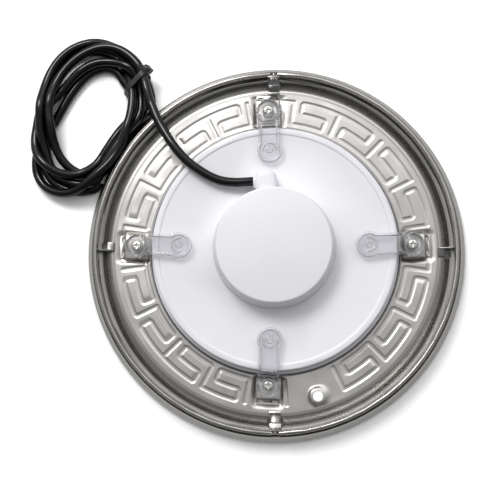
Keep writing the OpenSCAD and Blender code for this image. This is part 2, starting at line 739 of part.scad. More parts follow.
// What the tie goes round: the coil's section, waisted by the tie
module tie_core(grow) {
    core_w = coil_w - 2 + 2 * grow;
    translate([-core_w / 2, -tie_w, tie_t + tie_gap - grow])
        cube([core_w, 2 * tie_w, coil_h - tie_t - 1 + 2 * grow]);
}
module cable_coil() {
    color([0.06, 0.06, 0.07]) difference() {
        linear_extrude(coil_h) difference() {
            coil_outline(coil_w / 2);
            coil_outline(-coil_w / 2);
        }
        translate([0, 0, -1]) cylinder(r = ring_r + 0.4, h = coil_h + 2, $fn = 180);
        at_tie() difference() {
            tie_loop(tie_gap);
            tie_core(0);
        }
    }
}
module cable_tie() {
    color([0.1, 0.1, 0.11]) at_tie() {
        difference() {
            tie_loop(0);
            tie_core(tie_gap);
        }
        translate([coil_w / 2 + tie_t + 0.3 - eps, -tie_w / 2 - 1, coil_h - 9]) cube([3.4, tie_w + 2, 6.5]);
    }
}

face_ring();
snap_band();
spring_clip_12();
spring_clip_6();
locating_fin_3();
locating_fin_9();
clamp_seat_12();
clamp_seat_3();
clamp_seat_6();
clamp_seat_9();
clamp_12();
clamp_3();
clamp_6();
clamp_9();
clamp_screws();
spring_washers();
flat_washers();
lens_gasket();
front_lens();
rear_shell();
junction_cap();
gland_elbow();
gland_seal();
light_board();
light_chips();
board_screws();
driver_board();
driver_parts();
driver_screws();
cable();
cable_coil();
cable_tie();
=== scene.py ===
"""Underwater pool light, lying face down: finishes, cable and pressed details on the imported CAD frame."""

import math

import bmesh
import bpy
import numpy as np
from bpy.props import FloatProperty, FloatVectorProperty, PointerProperty
from mathutils import Matrix, Vector
from mathutils.bvhtree import BVHTree
from mathutils.geometry import convex_hull_2d


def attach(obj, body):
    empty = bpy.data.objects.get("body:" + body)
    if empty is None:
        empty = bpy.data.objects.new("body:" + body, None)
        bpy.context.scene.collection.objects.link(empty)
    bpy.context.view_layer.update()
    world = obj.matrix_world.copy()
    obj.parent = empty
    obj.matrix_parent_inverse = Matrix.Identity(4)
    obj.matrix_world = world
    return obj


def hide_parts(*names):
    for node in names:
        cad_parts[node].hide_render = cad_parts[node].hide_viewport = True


bl_info = {
    "name": "Underwater Pool Light",
    "version": (1, 0, 0),
    "blender": (4, 5, 0),
    "location": "3D View > Sidebar > Pool Light",
    "description": "Dresses the packed frame of an underwater pool light",
    "category": "Add Mesh",
}

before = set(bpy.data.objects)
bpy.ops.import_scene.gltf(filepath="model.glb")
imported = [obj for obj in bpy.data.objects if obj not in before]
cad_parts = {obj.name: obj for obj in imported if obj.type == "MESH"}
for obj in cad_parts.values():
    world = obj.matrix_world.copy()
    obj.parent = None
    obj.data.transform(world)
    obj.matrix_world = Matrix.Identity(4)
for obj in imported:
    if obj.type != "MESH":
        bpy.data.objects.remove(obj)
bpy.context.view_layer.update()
MM = 0.001

# Points in the photograph's 500 x 500 frame
PHOTO_W, PHOTO_H = 500, 500
IMAGE_POINTS = {
    "ring_left": (88.4, 257.0),
    "ring_right": (463.9, 257.0),
    "ring_top": (276.0, 70.1),
    "ring_bottom": (276.0, 443.8),
    "weld_left": (268.6, 79.2),
    "weld_right": (274.0, 79.2),
    "screw_12": (268.7, 107.1),
    "screw_3": (412.4, 244.8),
    "screw_6": (268.0, 381.2),
    "screw_9": (136.8, 245.8),
    "pilot_hole": (317.6, 396.3),
    "gland": (267.0, 178.5),
    "tie": (137.5, 83.7),
    "cap_tick": (328.5, 276.0),
}

# The camera: where it stands, what it aims at and its lens
CAMERA_AT = (0.0130, -0.0883, 0.6315)
CAMERA_AIM = (-0.01795, 0.0012, 0.0)
CAMERA_LENS = 63.62
SENSOR = 36.0
# How near its own surface a place counts as on it
SKIN = 0.0003

# The room's light by direction: from south (-1) to north (1), leaning a little to the west
WORLD_LIGHT = [(-1.0, 0.05), (-0.7, 0.07), (-0.35, 0.15), (0.0, 0.20), (0.14, 0.27), (0.3, 0.42), (0.5, 0.7),
               (1.0, 0.85)]
WORLD_POWER = 2.4
WORLD_EAST = -0.03
# The share of it that is left towards the horizon: height of the direction, share
WORLD_RISE = [(0.0, 0.1), (0.33, 0.2), (0.6, 0.95), (1.0, 1.0)]
# The white paper's glow all round the horizon: height of the direction, light
WORLD_EDGE = [(0.0, 0.5), (0.12, 0.4), (0.22, 0.0), (1.0, 0.0)]
# The floor: how light it is to the camera, its share of that in mirrors, its own glow and how far that reaches
FLOOR_SEEN, FLOOR_MIRRORED = 1.3, 0.45
FLOOR_GLOW, FLOOR_GLOW_REACH = 0.95, 0.112
FLOOR_HALF = 3.0
# The lamp: its place, its two sides and its power
KEY_AT, KEY_SIDES, KEY_WATTS = (-0.42, 0.75, 1.0), (0.5, 0.4), 7.5


# ---- sizes and colours that a user may change


class PoolLightSizes(bpy.types.PropertyGroup):
    cable_d: FloatProperty(
        name="Cable", description="Diameter of the cable", default=0.0065, unit="LENGTH")


class PoolLightFinishes(bpy.types.PropertyGroup):
    steel: FloatVectorProperty(
        name="Steel", description="Colour of the pressed face ring", subtype="COLOR",
        default=(0.60, 0.585, 0.565))
    cable: FloatVectorProperty(
        name="Cable", description="Colour of the cable's sheath", subtype="COLOR",
        default=(0.004, 0.005, 0.006))


# ---- meshes


def unit(v):
    """Vectors divided by their length."""
    return v / np.maximum(np.linalg.norm(v, axis=-1, keepdims=True), 1e-12)


def cubic(at, knots):
    """The smooth curve through the knots: the Catmull-Rom cubic, read at the places `at`, counted in knots."""
    knots = np.asarray(knots, float)
    i = np.clip(np.floor(at).astype(int), 0, len(knots) - 2)
    f = (at - i)[:, None] if knots.ndim > 1 else at - i
    before, a, b, after = (knots[np.clip(i + k, 0, len(knots) - 1)] for k in (-1, 0, 1, 2))
    return 0.5 * (2 * a + (b - before) * f + (2 * before - 5 * a + 4 * b - after) * f**2
                  + (3 * a - before - 3 * b + after) * f**3)


def evenly(line, step):
    """The line again, as points the same distance apart, about one step."""
    along = np.concatenate([[0], np.cumsum(np.linalg.norm(np.diff(line, axis=0), axis=1))])
    at = np.linspace(0, along[-1], int(round(along[-1] / step)) + 1)
    return np.stack([np.interp(at, along, line[:, k]) for k in range(line.shape[1])], axis=1)


def grid_faces(rows, cols, close_rows=False, close_cols=False):
    """Quads between the points of a grid that is stored row by row."""
    i = np.arange(rows if close_rows else rows - 1)[:, None]
    j = np.arange(cols if close_cols else cols - 1)[None, :]
    i2, j2 = (i + 1) % rows, (j + 1) % cols
    return np.stack([i * cols + j, i2 * cols + j, i2 * cols + j2, i * cols + j2], axis=-1).reshape(-1, 4)


def shade(mesh, crease):
    """Smooth shading, with an edge kept sharp where faces bend by more than the crease angle in degrees."""
    mesh.polygons.foreach_set("use_smooth", [True] * len(mesh.polygons))
    mesh.set_sharp_from_angle(angle=math.radians(crease))


def mesh_of(name, points, faces):
    """A mesh from arrays of points in metres and of faces."""
    mesh = bpy.data.meshes.new(name)
    mesh.from_pydata(np.reshape(points, (-1, 3)), [], [[int(i) for i in f] for f in faces])
    return mesh


def put(name, data):
    """An object of the scene with that mesh, camera or light."""
    piece = bpy.data.objects.new(name, data)
    bpy.context.scene.collection.objects.link(piece)
    return piece


def fit(piece, body, slot, *replaced):
    """Lets a piece ride on a body of the frame, in place of the CAD nodes it replaces, which it hides. The slot
    is not used.
    """
    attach(piece, body)
    if replaced:
        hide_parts(*replaced)
    return piece


def new_piece(name, points, faces, finish, slot, *replaced, body="light"):
    """A piece of points in metres and of faces, which are all turned outward."""
    mesh = mesh_of(name, points, faces)
    if mesh.validate():
        raise RuntimeError(f"{name} had faces that had to be mended")
    shape = bmesh.new()
    shape.from_mesh(mesh)
    bmesh.ops.recalc_face_normals(shape, faces=shape.faces)
    shape.to_mesh(mesh)
    shape.free()
    paint(mesh, finish)
    shade(mesh, 40)
    return fit(put(name, mesh), body, slot, *replaced)


def apply_modifiers(piece):
    """Turns the piece's mesh into what its modifiers make of it."""
    before = piece.data
    bpy.context.view_layer.update()
    piece_now = piece.evaluated_get(bpy.context.evaluated_depsgraph_get())
    done = bpy.data.meshes.new_from_object(piece_now)
    piece.modifiers.clear()
    piece.data = done
    bpy.data.meshes.remove(before)


def bent(corners, turn=math.radians(8)):
    """The line through the corners (x, y, bend radius), each rounded by its radius in steps of up to `turn`."""
    p = np.array([c[:2] for c in corners], float)
    line = [p[0]]
    for before, b, after, (_, _, r) in zip(p, p[1:], p[2:], corners[1:]):
        u, w = unit(before - b), unit(after - b)
        half = math.acos(max(-1.0, min(1.0, float(u @ w)))) / 2
        centre = b + unit(u + w) * r / math.sin(half)
        x, y = b + u * r / math.tan(half) - centre
        sweep = math.copysign(math.pi - 2 * half, w[0] * u[1] - w[1] * u[0])
        for a in np.linspace(0, sweep, max(2, math.ceil(abs(sweep) / turn)) + 1):
            line.append(centre + [x * math.cos(a) - y * math.sin(a), x * math.sin(a) + y * math.cos(a)])
    line.append(p[-1])
    return np.array(line)


def divided(line, step):
    """The line with its long stretches cut into steps of up to `step`."""
    out = [line[:1]]
    for a, b in zip(line, line[1:]):
        n = math.ceil(np.linalg.norm(b - a) / step)
        out.append(a + (b - a) * (np.arange(1, n + 1) / n)[:, None])
    return np.concatenate(out)


def beside(line, d):
    """A plane line moved to its left by d: each point goes along the mean of its two stretches' normals."""
    ahead = unit(np.diff(line, axis=0))
    normal = np.column_stack([-ahead[:, 1], ahead[:, 0]])
    first, last = np.vstack([normal[:1], normal]), np.vstack([normal, normal[-1:]])
    mean = unit(first + last)
    return line + mean * (d / np.einsum("ij,ij->i", mean, last))[:, None]


def graded(low, high, centres, reach, fine, coarse):
    """Places from low to high: fine steps within `reach` of a centre, and coarse steps elsewhere."""
    centres = np.asarray(centres)
    at = [low]
    while at[-1] < high:
        near = np.abs(centres - at[-1] - coarse / 2).min() < reach + coarse / 2
        at.append(at[-1] + (fine if near else coarse))
    at = np.array(at)
    return low + (at - low) * (high - low) / (at[-1] - low)


def turned(section, angles, lift=None):
    """A closed section (radius, height) turned round Z, clockwise from +Y seen from +Z: (r sin a, r cos a, z).
    `lift` gives each point of the grid, from its angle and radius, a change of height."""
    a = np.radians(angles)[:, None]
    r, z = section[None, :, 0], section[None, :, 1] + np.zeros_like(a)
    if lift is not None:
        z = z + lift(a + np.zeros_like(r), r + np.zeros_like(a))
    points = np.stack([r * np.sin(a), r * np.cos(a), z], axis=-1).reshape(-1, 3)
    return points, grid_faces(len(angles), section.shape[0], True, True)


def distance_to(points, line):
    """Each point's distance to a line of straight stretches, in a plane."""
    a, ab = line[:-1], np.diff(line, axis=0)
    t = np.clip(((points[:, None] - a) * ab).sum(-1) / (ab**2).sum(-1), 0, 1)
    return np.linalg.norm(points[:, None] - a - t[..., None] * ab, axis=-1).min(1)


def ease(x):
    """From 0 to 1 with level ends: 3 x^2 - 2 x^3."""
    x = np.clip(x, 0, 1)
    return x * x * (3 - 2 * x)


def cut_out(piece, cutters):
    """Cuts closed meshes (points, faces) out of a piece, and keeps the creases of the cut."""
    tools = []
    for points, faces in cutters:
        mesh = mesh_of("cutter", points, faces)
        cut = piece.modifiers.new("cut", "BOOLEAN")
        cut.operation, cut.solver, cut.object = "DIFFERENCE", "MANIFOLD", put("cutter", mesh)
        tools.append(mesh)
    apply_modifiers(piece)
    for mesh in tools:
        bpy.data.meshes.remove(mesh)
    shade(piece.data, 40)


def closed_rows(rows, tip=None, foot=None):
    """Rings of points, counter-clockwise as seen from the last, joined into a solid. Each end is closed by its
    point or by a flat face."""
    count, sides = len(rows), len(rows[0])
    k, last = np.arange(sides), (count - 1) * sides
    faces = [list(f)[::-1] for f in grid_faces(count, sides, close_cols=True)]
    ends = []
    for point, ring in ((tip, last + k), (foot, k[::-1])):
        if point is None:
            faces.append(list(ring))
        else:
            ends.append(point)
            top = count * sides + len(ends) - 1
            faces += [[a, b, top] for a, b in zip(ring, np.roll(ring, -1))]
    return np.concatenate([np.reshape(rows, (-1, 3)), np.reshape(ends, (-1, 3))]), faces


def circle(sides):
    """Points round the circle of radius 1."""
    a = np.linspace(0, 2 * np.pi, sides, endpoint=False)
    return np.column_stack([np.cos(a), np.sin(a)])


def raised(plan, z):
    """Plane points at a height."""
    return np.column_stack([plan, np.full(len(plan), z)])


def rod(x, y, z0, z1, radius, sides=48):
    """An upright cylinder from z0 to z1."""
    return closed_rows([raised(radius * circle(sides) + (x, y), z) for z in (z0, z1)])


def frames_along(line):
    """At each point of the line its direction and two across it, which turn as little as they can: the first
    one across is level, and each next one is the one before with its part along the line taken out."""
    ahead = unit(np.gradient(line, axis=0))
    side = np.zeros_like(line)
    side[0] = unit(np.cross(ahead[0], [0, 0, 1.0]))
    for k in range(1, len(line)):
        side[k] = unit(side[k - 1] - ahead[k] * (side[k - 1] @ ahead[k]))
    return ahead, side, np.cross(ahead, side)


def round_tube(line, radius, sides):
    """A tube: at each point of the line a circle, line + radius (cos a side + sin a up), with flat ends."""
    ahead, side, up = frames_along(line)
    cos, sin = circle(sides).T[..., None]
    return closed_rows(line[:, None] + radius * (cos * side[:, None] + sin * up[:, None]))


# ---- materials


class Nodes:
    """A node tree under construction: short calls add its nodes and return their outputs."""

    def __init__(self, tree):
        self.tree = tree

    def give(self, node, values):
        """Sets a node's inputs to numbers, or links them to outputs."""
        for key, value in values.items():
            if isinstance(value, bpy.types.NodeSocket):
                self.tree.links.new(value, node.inputs[key])
            else:
                node.inputs[key].default_value = value

    def add(self, kind, values, **settings):
        node = self.tree.nodes.new(kind)
        for key, value in settings.items():
            setattr(node, key, value)
        self.give(node, values)
        return node

    def math(self, operation, *values, **settings):
        """A calculation with numbers and outputs."""
        return self.add("ShaderNodeMath", dict(enumerate(values)), operation=operation, **settings).outputs[0]

    def mix(self, share, first, second):
        """Two shaders, with a share of the second."""
        return self.add("ShaderNodeMixShader", {0: share, 1: first, 2: second}).outputs[0]

    def ramp(self, value, stops):
        """Colours at places along a value: stops are (place, colour), or (place, lightness) for a grey."""
        ramp = self.add("ShaderNodeValToRGB", {"Fac": value})
        elements = ramp.color_ramp.elements
        while len(elements) < len(stops):
            elements.new(0.5)
        for element, (place, colour) in zip(elements, stops):
            element.position = place
            element.color = (*(colour if isinstance(colour, tuple) else (colour,) * 3), 1.0)
        return ramp.outputs["Color"]

    def source(self, kind, output):
        """What a node without inputs gives."""
        return self.add(kind, {}).outputs[output]


class Finish(Nodes):
    """A material under construction, with noises that read the piece's own coordinates."""

    def __init__(self, name, **values):
        self.material = bpy.data.materials.new(name)
        self.material.use_nodes = True
        super().__init__(self.material.node_tree)
        self.shader = self.tree.nodes["Principled BSDF"]
        self.place = self.source("ShaderNodeTexCoord", "Object")
        self.feed(**values)

    def feed(self, **values):
        """Sets or links the shader's inputs."""
        self.give(self.shader, {key.replace("_", " "): value for key, value in values.items()})

    def noise(self, scale, detail=3.0, stretch=(1, 1, 1)):
        mapping = self.add("ShaderNodeMapping", {"Scale": stretch, "Vector": self.place})
        values = {"Scale": scale, "Detail": detail, "Vector": mapping.outputs["Vector"]}
        return self.add("ShaderNodeTexNoise", values).outputs["Fac"]

    def distance(self, place):
        """How far a place lies from the origin."""
        return self.add("ShaderNodeVectorMath", {0: place}, operation="LENGTH").outputs["Value"]

    def rings(self, scale, detail=2.0):
        """Noise that changes only with the distance from the object's axis, as turning marks do."""
        flat = self.add("ShaderNodeVectorMath", {0: self.place, 1: (1, 1, 0)}, operation="MULTIPLY")
        values = {"Scale": scale, "Detail": detail, "W": self.distance(flat.outputs["Vector"])}
        return self.add("ShaderNodeTexNoise", values, noise_dimensions="1D").outputs["Fac"]

    def span(self, value, low, high):
        """A value from 0 to 1 spread from low to high."""
        values = {"Value": value, "To Min": low, "To Max": high}
        return self.add("ShaderNodeMapRange", values).outputs["Result"]

    def bump(self, height, depth, strength):
        """A normal bent by a height, its depth in metres."""
        values = {"Height": height, "Distance": depth, "Strength": strength}
        return self.add("ShaderNodeBump", values).outputs["Normal"]


def shades(colour, low, high):
    """The same colour darker and lighter."""
    return tuple(c * low for c in colour), tuple(min(1.0, c * high) for c in colour)


def pressed_steel(name, colour, rough):
    """Pressed stainless sheet: cloudy shade, faint rolling marks and a fine tooth."""
    f = Finish(name, Metallic=1.0)
    dark, light = shades(colour, 0.86, 1.08)
    f.feed(Base_Color=f.ramp(f.noise(26.0, 4.0), [(0.3, dark), (0.7, light)]),
           Roughness=f.span(f.noise(180.0, 5.0, (1, 0.25, 1)), rough * 0.8, rough * 1.25),
           Normal=f.bump(f.noise(900.0, 2.0), 0.00003, 0.5))
    return f.material


def spun_steel(name, colour, rough):
    """Steel that was formed on a lathe: fine rings of shade, gloss and depth round the axis."""
    f = Finish(name, Metallic=1.0)
    dark, light = shades(colour, 0.5, 0.95)
    f.feed(Base_Color=f.ramp(f.rings(1500.0, 3.0), [(0.36, dark), (0.62, light)]),
           Roughness=f.span(f.noise(60.0, 4.0), rough * 0.85, rough * 1.2),
           Normal=f.bump(f.rings(900.0), 0.00004, 0.6))
    return f.material


def moulded_plastic(name, colour, rough):
    """Moulded plastic: almost even shade, small changes of gloss and a very fine texture."""
    f = Finish(name)
    dark, light = shades(colour, 0.97, 1.02)
    f.feed(Base_Color=f.ramp(f.noise(18.0), [(0.3, dark), (0.7, light)]),
           Roughness=f.span(f.noise(140.0), rough * 0.85, rough * 1.2),
           Normal=f.bump(f.noise(1400.0, 2.0), 0.00002, 0.3))
    return f.material


def clear_plastic(name, colour):
    """Clear moulded plastic: it lets light through and has flow marks in its gloss. Where a wall is seen
    edge-on it is painted grey and lets less through, painted light and shade in place of what refraction shows.
    Its shadow stays pale."""
    f = Finish(name, IOR=1.47)
    facing = f.source("ShaderNodeLayerWeight", "Facing")
    uneven = f.math("ADD", facing, f.span(f.noise(300.0, 2.0), -0.06, 0.06))
    # Painted light and shade: grey tints for walls seen edge-on, standing in for what refraction shows there
    edge, wall = shades(colour, 0.62, 0.4)
    f.feed(Base_Color=f.ramp(uneven, [(0.12, colour), (0.32, edge), (0.9, wall)]),
           Transmission_Weight=f.ramp(uneven, [(0.12, 1.0), (0.35, 0.25), (0.9, 0.1)]),
           Roughness=f.span(f.noise(90.0), 0.0, 0.06))
    through = f.add("ShaderNodeBsdfTransparent", {"Color": (0.7, 0.7, 0.7, 1)})
    shadow = f.source("ShaderNodeLightPath", "Is Shadow Ray")
    f.give(f.tree.nodes["Material Output"],
           {"Surface": f.mix(shadow, f.shader.outputs[0], through.outputs[0])})
    return f.material


def cable_sheath(name, colour):
    """Glossy black sheath with slight unevenness."""
    f = Finish(name, Specular_IOR_Level=0.35)
    dark, light = shades(colour, 0.3, 0.7)
    f.feed(Base_Color=f.ramp(f.noise(60.0), [(0.3, dark), (0.7, light)]),
           Roughness=f.span(f.noise(120.0), 0.08, 0.17),
           Normal=f.bump(f.noise(220.0, 2.0), 0.0001, 0.25))
    return f.material


def floor_paper():
    """Grey paper to dull surfaces, pale to mirrors and white to the camera, also through the pilot hole."""
    f = Finish("floor_paper", Roughness=0.95, Specular_IOR_Level=0.0, Emission_Color=(FLOOR_GLOW,) * 3 + (1,))
    rays = f.add("ShaderNodeLightPath", {}).outputs
    seen = rays["Is Camera Ray"]
    mirrored = f.math("MAXIMUM", rays["Is Glossy Ray"], rays["Is Transmission Ray"])
    mix = f.add("ShaderNodeMix", {}, data_type="RGBA")
    f.give(mix, {"Factor": f.math("MULTIPLY_ADD", mirrored, FLOOR_MIRRORED, seen, use_clamp=True),
                 6: f.ramp(f.noise(3.0), [(0.3, 0.24), (0.7, 0.26)]), 7: (FLOOR_SEEN,) * 3 + (1,)})
    near = f.math("LESS_THAN", f.distance(f.place), FLOOR_GLOW_REACH)
    f.feed(Base_Color=mix.outputs[2], Emission_Strength=f.math("MULTIPLY", near, seen))
    return f.material


def studio_world():
    """A room that is dark to the south and bright to the north, dimmer towards the horizon and white to the
    camera."""
    world = bpy.data.worlds.new("studio")
    world.use_nodes = True
    n = Nodes(world.node_tree)
    way = n.source("ShaderNodeTexCoord", "Generated")
    east, north, rise = n.add("ShaderNodeSeparateXYZ", {0: way}).outputs
    lights = []
    for value, low, stops in ((n.math("MULTIPLY_ADD", east, WORLD_EAST, north), -1.0, WORLD_LIGHT),
                              (rise, 0.0, WORLD_RISE), (rise, 0.0, WORLD_EDGE)):
        spread = n.add("ShaderNodeMapRange", {"Value": value, "From Min": low})
        stops = [((at - low) / (1 - low), light) for at, light in stops]
        lights.append(n.ramp(spread.outputs["Result"], stops))
    room = n.tree.nodes["Background"]
    n.give(room, {"Color": lights[0], "Strength": n.math("MULTIPLY", lights[1], WORLD_POWER)})
    glow = n.add("ShaderNodeBackground", {"Color": lights[2]})
    both = n.add("ShaderNodeAddShader", {0: room.outputs[0], 1: glow.outputs[0]})
    white = n.add("ShaderNodeBackground", {"Color": (1, 1, 1, 1)})
    seen = n.source("ShaderNodeLightPath", "Is Camera Ray")
    n.give(n.tree.nodes["World Output"], {"Surface": n.mix(seen, both.outputs[0], white.outputs[0])})
    return world


# Each finish: what makes it, its colour or the name of the colour that a user may change, and its roughness
FINISHES = {
    "ring_steel": (pressed_steel, "steel", 0.32),
    "rim_steel": (spun_steel, "steel", 0.27),
    "band_steel": (pressed_steel, (0.42, 0.41, 0.395), 0.26),
    "spring_steel": (pressed_steel, (0.5, 0.49, 0.48), 0.25),
    "screw_steel": (pressed_steel, (0.68, 0.67, 0.65), 0.22),
    # Painted shade: the locating fins' steel is made dark in place of the dark surroundings they reflect; the
    # weld spots use the same colour
    "dark_steel": (pressed_steel, (0.22, 0.215, 0.21), 0.3),
    "clear": (clear_plastic, (0.985, 0.985, 1.0)),
    "lens": (clear_plastic, (0.93, 0.96, 1.0)),
    "white": (moulded_plastic, (0.83, 0.825, 0.865), 0.35),
    "gasket": (moulded_plastic, (0.02, 0.02, 0.022), 0.6),
    "board_white": (moulded_plastic, (0.8, 0.8, 0.78), 0.4),
    "phosphor": (moulded_plastic, (0.85, 0.68, 0.16), 0.35),
    "board_green": (moulded_plastic, (0.03, 0.2, 0.08), 0.35),
    "part_black": (moulded_plastic, (0.03, 0.03, 0.035), 0.4),
    "cable": (cable_sheath, "cable"),
    "tie": (moulded_plastic, (0.03, 0.03, 0.033), 0.42),
}
MATERIALS = {}


def finish_of(name):
    """The material of that name, made when it is first asked for."""
    if name not in MATERIALS:
        make, colour, *rough = FINISHES[name]
        if isinstance(colour, str):
            colour = tuple(getattr(bpy.context.scene.pool_light_finishes, colour))
        MATERIALS[name] = make(name, colour, *rough)
    return MATERIALS[name]


def paint(mesh, finish):
    """Gives a mesh one finish in place of what it had."""
    mesh.materials.clear()
    mesh.materials.append(finish_of(finish))


# ---- camera and placing


def camera_ray(x, y):
    """The ray through a pixel of the photograph's frame: where it starts and its direction."""
    camera = bpy.context.scene.camera
    data, long_side = camera.data, max(PHOTO_W, PHOTO_H)
    way = Vector((x - PHOTO_W / 2 + data.shift_x * long_side, PHOTO_H / 2 - y + data.shift_y * long_side,
                  -long_side * data.lens / data.sensor_width))
    matrix = camera.matrix_world
    return matrix.translation.copy(), (matrix.to_3x3() @ way).normalized()


def tree_of(mesh):
    """A mesh's faces, to be met by rays."""
    return BVHTree.FromPolygons([v.co for v in mesh.vertices], [p.vertices[:] for p in mesh.polygons])


def read(mesh, what):
    """The place or the normal of each vertex."""
    rows = np.zeros(3 * len(mesh.vertices))
    mesh.vertices.foreach_get(what, rows)
    return rows.reshape(-1, 3)


def place_on(name, piece):
    """Where an image point lies on the piece that carries it, and the normal there: the ray through the point
    meets its faces, and a miss takes the place nearest the ray."""
    start, way = camera_ray(*IMAGE_POINTS[name])
    tree = tree_of(piece.data)
    place, normal, *_ = tree.ray_cast(start, way)
    if place is None:
        offsets = read(piece.data, "co") - np.array(start)
        along = offsets @ np.array(way)
        nearest = int(np.argmin(((offsets - along[:, None] * np.array(way)) ** 2).sum(1)))
        place, normal, *_ = tree.find_nearest(start + way * float(along[nearest]))
    return place, normal


def seen(points):
    """The pixels at which places in metres show in the photograph's frame."""
    camera = bpy.context.scene.camera
    data, long_side = camera.data, max(PHOTO_W, PHOTO_H)
    back = np.array(camera.matrix_world.inverted())
    local = np.asarray(points, float).reshape(-1, 3) @ back[:3, :3].T + back[:3, 3]
    flat = local[:, :2] / -local[:, 2:] * long_side * data.lens / data.sensor_width
    return np.column_stack([flat[:, 0] + PHOTO_W / 2 - data.shift_x * long_side,
                            PHOTO_H / 2 - flat[:, 1] + data.shift_y * long_side])


def showing(name, near=None, reach=0.0, behind=()):
    """The pixels of a piece's vertices that face the camera and that none of the pieces in behind hides, and of
    those only the ones within reach of a place where one is given."""
    mesh = bpy.data.objects[name].data
    at = read(mesh, "co")
    eye = bpy.context.scene.camera.matrix_world.translation
    keep = np.einsum("ij,ij->i", read(mesh, "normal"), np.array(eye) - at) > 0
    if near is not None:
        keep &= np.hypot(*(at[:, :2] - near).T) < reach
    at = at[keep]
    for tree in [tree_of(bpy.data.objects[piece].data) for piece in behind]:
        ways = [Vector(point) - eye for point in at]
        at = at[[tree.ray_cast(eye, way.normalized(), way.length - SKIN)[0] is None for way in ways]]
    return seen(at)


class POOL_LIGHT_OT_camera(bpy.types.Operator):
    """Makes the camera where the photograph was taken from"""

    bl_idname = "pool_light.camera"
    bl_label = "Camera"

    def execute(self, context):
        data = bpy.data.cameras.new("camera")
        data.sensor_fit = "AUTO"
        data.sensor_width = SENSOR
        data.lens = CAMERA_LENS
        camera = put("camera", data)
        camera.location = CAMERA_AT
        ahead = (Vector(CAMERA_AIM) - Vector(CAMERA_AT)).normalized()
        right = ahead.cross(Vector((0, 1, 0))).normalized()
        up = right.cross(ahead)
        camera.rotation_mode = "QUATERNION"
        camera.rotation_quaternion = Matrix((right, up, -ahead)).transposed().to_quaternion()
        context.scene.camera = camera
        context.view_layer.update()
        return {"FINISHED"}


# ---- cable and its coil, in millimetres until drawn

# The route from the gland to the coil, as in the CAD source
CABLE_ROUTE = [(-9.5, 45.7, 27), (-16, 45.7, 27), (-24, 45.3, 26.9), (-31, 45.6, 26.7), (-38, 47, 26.5),
               (-45, 50, 26.2), (-52, 54.3, 26), (-59.5, 60, 25.8), (-66.4, 67, 25.4), (-72.5, 75, 24.6),
               (-77.6, 83.2, 23.2), (-81.2, 89.4, 21.6), (-84.2, 95.4, 20), (-86.6, 101, 19.1),
               (-88.8, 106.6, 18.4), (-90.4, 111, 17.6)]
COIL_CENTRE = (-134, 99)
COIL_A, COIL_B = 47, 36.5
COIL_TILT = math.radians(74)
# The ring's outer wall, which the coil leans on: its radius and its height
RING_R, WALL_TOP = 135.3, 11.5
# Each turn of the coil, every 30 degrees from the ring's side: how far outside the mean oval, and how high
TURN_OFFSETS = [
    [11.5, 5.5, 6.5, 8.0, 4.2, 0.2, -4.0, -8.3, -7.5, -5.2, -2.0, 1.5],
    [5.0, 6.5, 6.5, 9.6, 12.4, 9.0, 1.2, -1.4, 3.4, 5.2, 5.0, 2.5],
    [-1.0, -0.5, 0.0, -2.8, -5.8, -7.6, -2.5, 4.6, 3.6, -1.0, -8.5, -11.0],
    [-10.0, -8.0, -6.0, -5.6, -8.6, -12.0, -11.0, 1.0, 15.0, 12.0, 0.0, -5.2],
    [-7.2, -6.4, -2.0, 4.5, 8.6, 5.6, -1.0, -5.0, 7.0, 7.5, 6.5, 6.0],
]
TURN_HEIGHTS = [
    [19.5, 15.5, 15, 13, 12, 12, 14, 12, 9, 6, 5, 4],
    [4, 4, 4, 5, 8, 10, 14, 13, 9, 5, 9, 9],
    [9, 9, 9, 9, 9, 8, 7, 9, 15, 13, 10, 6],
    [3.5, 3.5, 3.5, 3.5, 3.5, 3.5, 3.5, 3.5, 5, 11, 14, 14],
    [14, 14.5, 10, 4, 3.5, 3.5, 3.5, 3.5, 3.5, 3.5, 3.5, 3.5],
]
COIL_FROM, COIL_TO = 1.0, 58.2  # counted in knots of 30 degrees


def coil_plan(angle, offset):
    """The coil's mean oval, grown by an offset d: centre + turned ((a + d) cos angle, (b + d) sin angle)."""
    x, y = (COIL_A + offset) * np.cos(angle), (COIL_B + offset) * np.sin(angle)
    c, s = math.cos(COIL_TILT), math.sin(COIL_TILT)
    return np.stack([COIL_CENTRE[0] + x * c - y * s, COIL_CENTRE[1] + x * s + y * c], axis=-1)


def settle(line, held, thick, rounds=110, near=16.0):
    """Lets the turns come to rest on each other. Each round smooths the bends, pulls every point a little to
    its own place and down, and parts points of different turns that are nearer than a diameter. The floor and
    the ring's wall push back, and the first points are held."""
    home, free = line.copy(), np.ones(len(line))
    free[:held] = 0
    w = free[:, None]
    wall_r = RING_R + thick / 2
    for turn in range(rounds):
        if turn % 10 == 0:
            gap = np.linalg.norm(line[:, None] - line[None], axis=2)
            one, other = np.nonzero(np.triu(gap < near, 5))
        for _ in range(3):
            pull, pull2 = np.zeros_like(line), np.zeros_like(line)
            pull[1:-1] = (line[:-2] + line[2:]) / 2 - line[1:-1]
            pull2[1:-1] = (pull[:-2] + pull[2:]) / 2 - pull[1:-1]
            line = line + w * (0.02 * pull - 0.2 * pull2)
        line = line + w * (home - line) * [0.03, 0.03, 0.006]
        line[:, 2] -= 0.02 * free
        for _ in range(4):
            apart = line[one] - line[other]
            far = np.linalg.norm(apart, axis=1)
            push = apart * (np.maximum(thick - far, 0) / np.maximum(far, 0.3) * 0.3)[:, None]
            for k in range(3):
                here, there = (np.bincount(ends, push[:, k], len(line)) for ends in (one, other))
                line[:, k] += free * (here - there)
            line[:, 2] = np.where(free > 0, np.maximum(line[:, 2], thick / 2), line[:, 2])
            r = np.hypot(line[:, 0], line[:, 1])
            wall = (r < wall_r) & (line[:, 2] < WALL_TOP) & (free > 0)
            line[wall, :2] *= (wall_r / r[wall])[:, None]
    return line


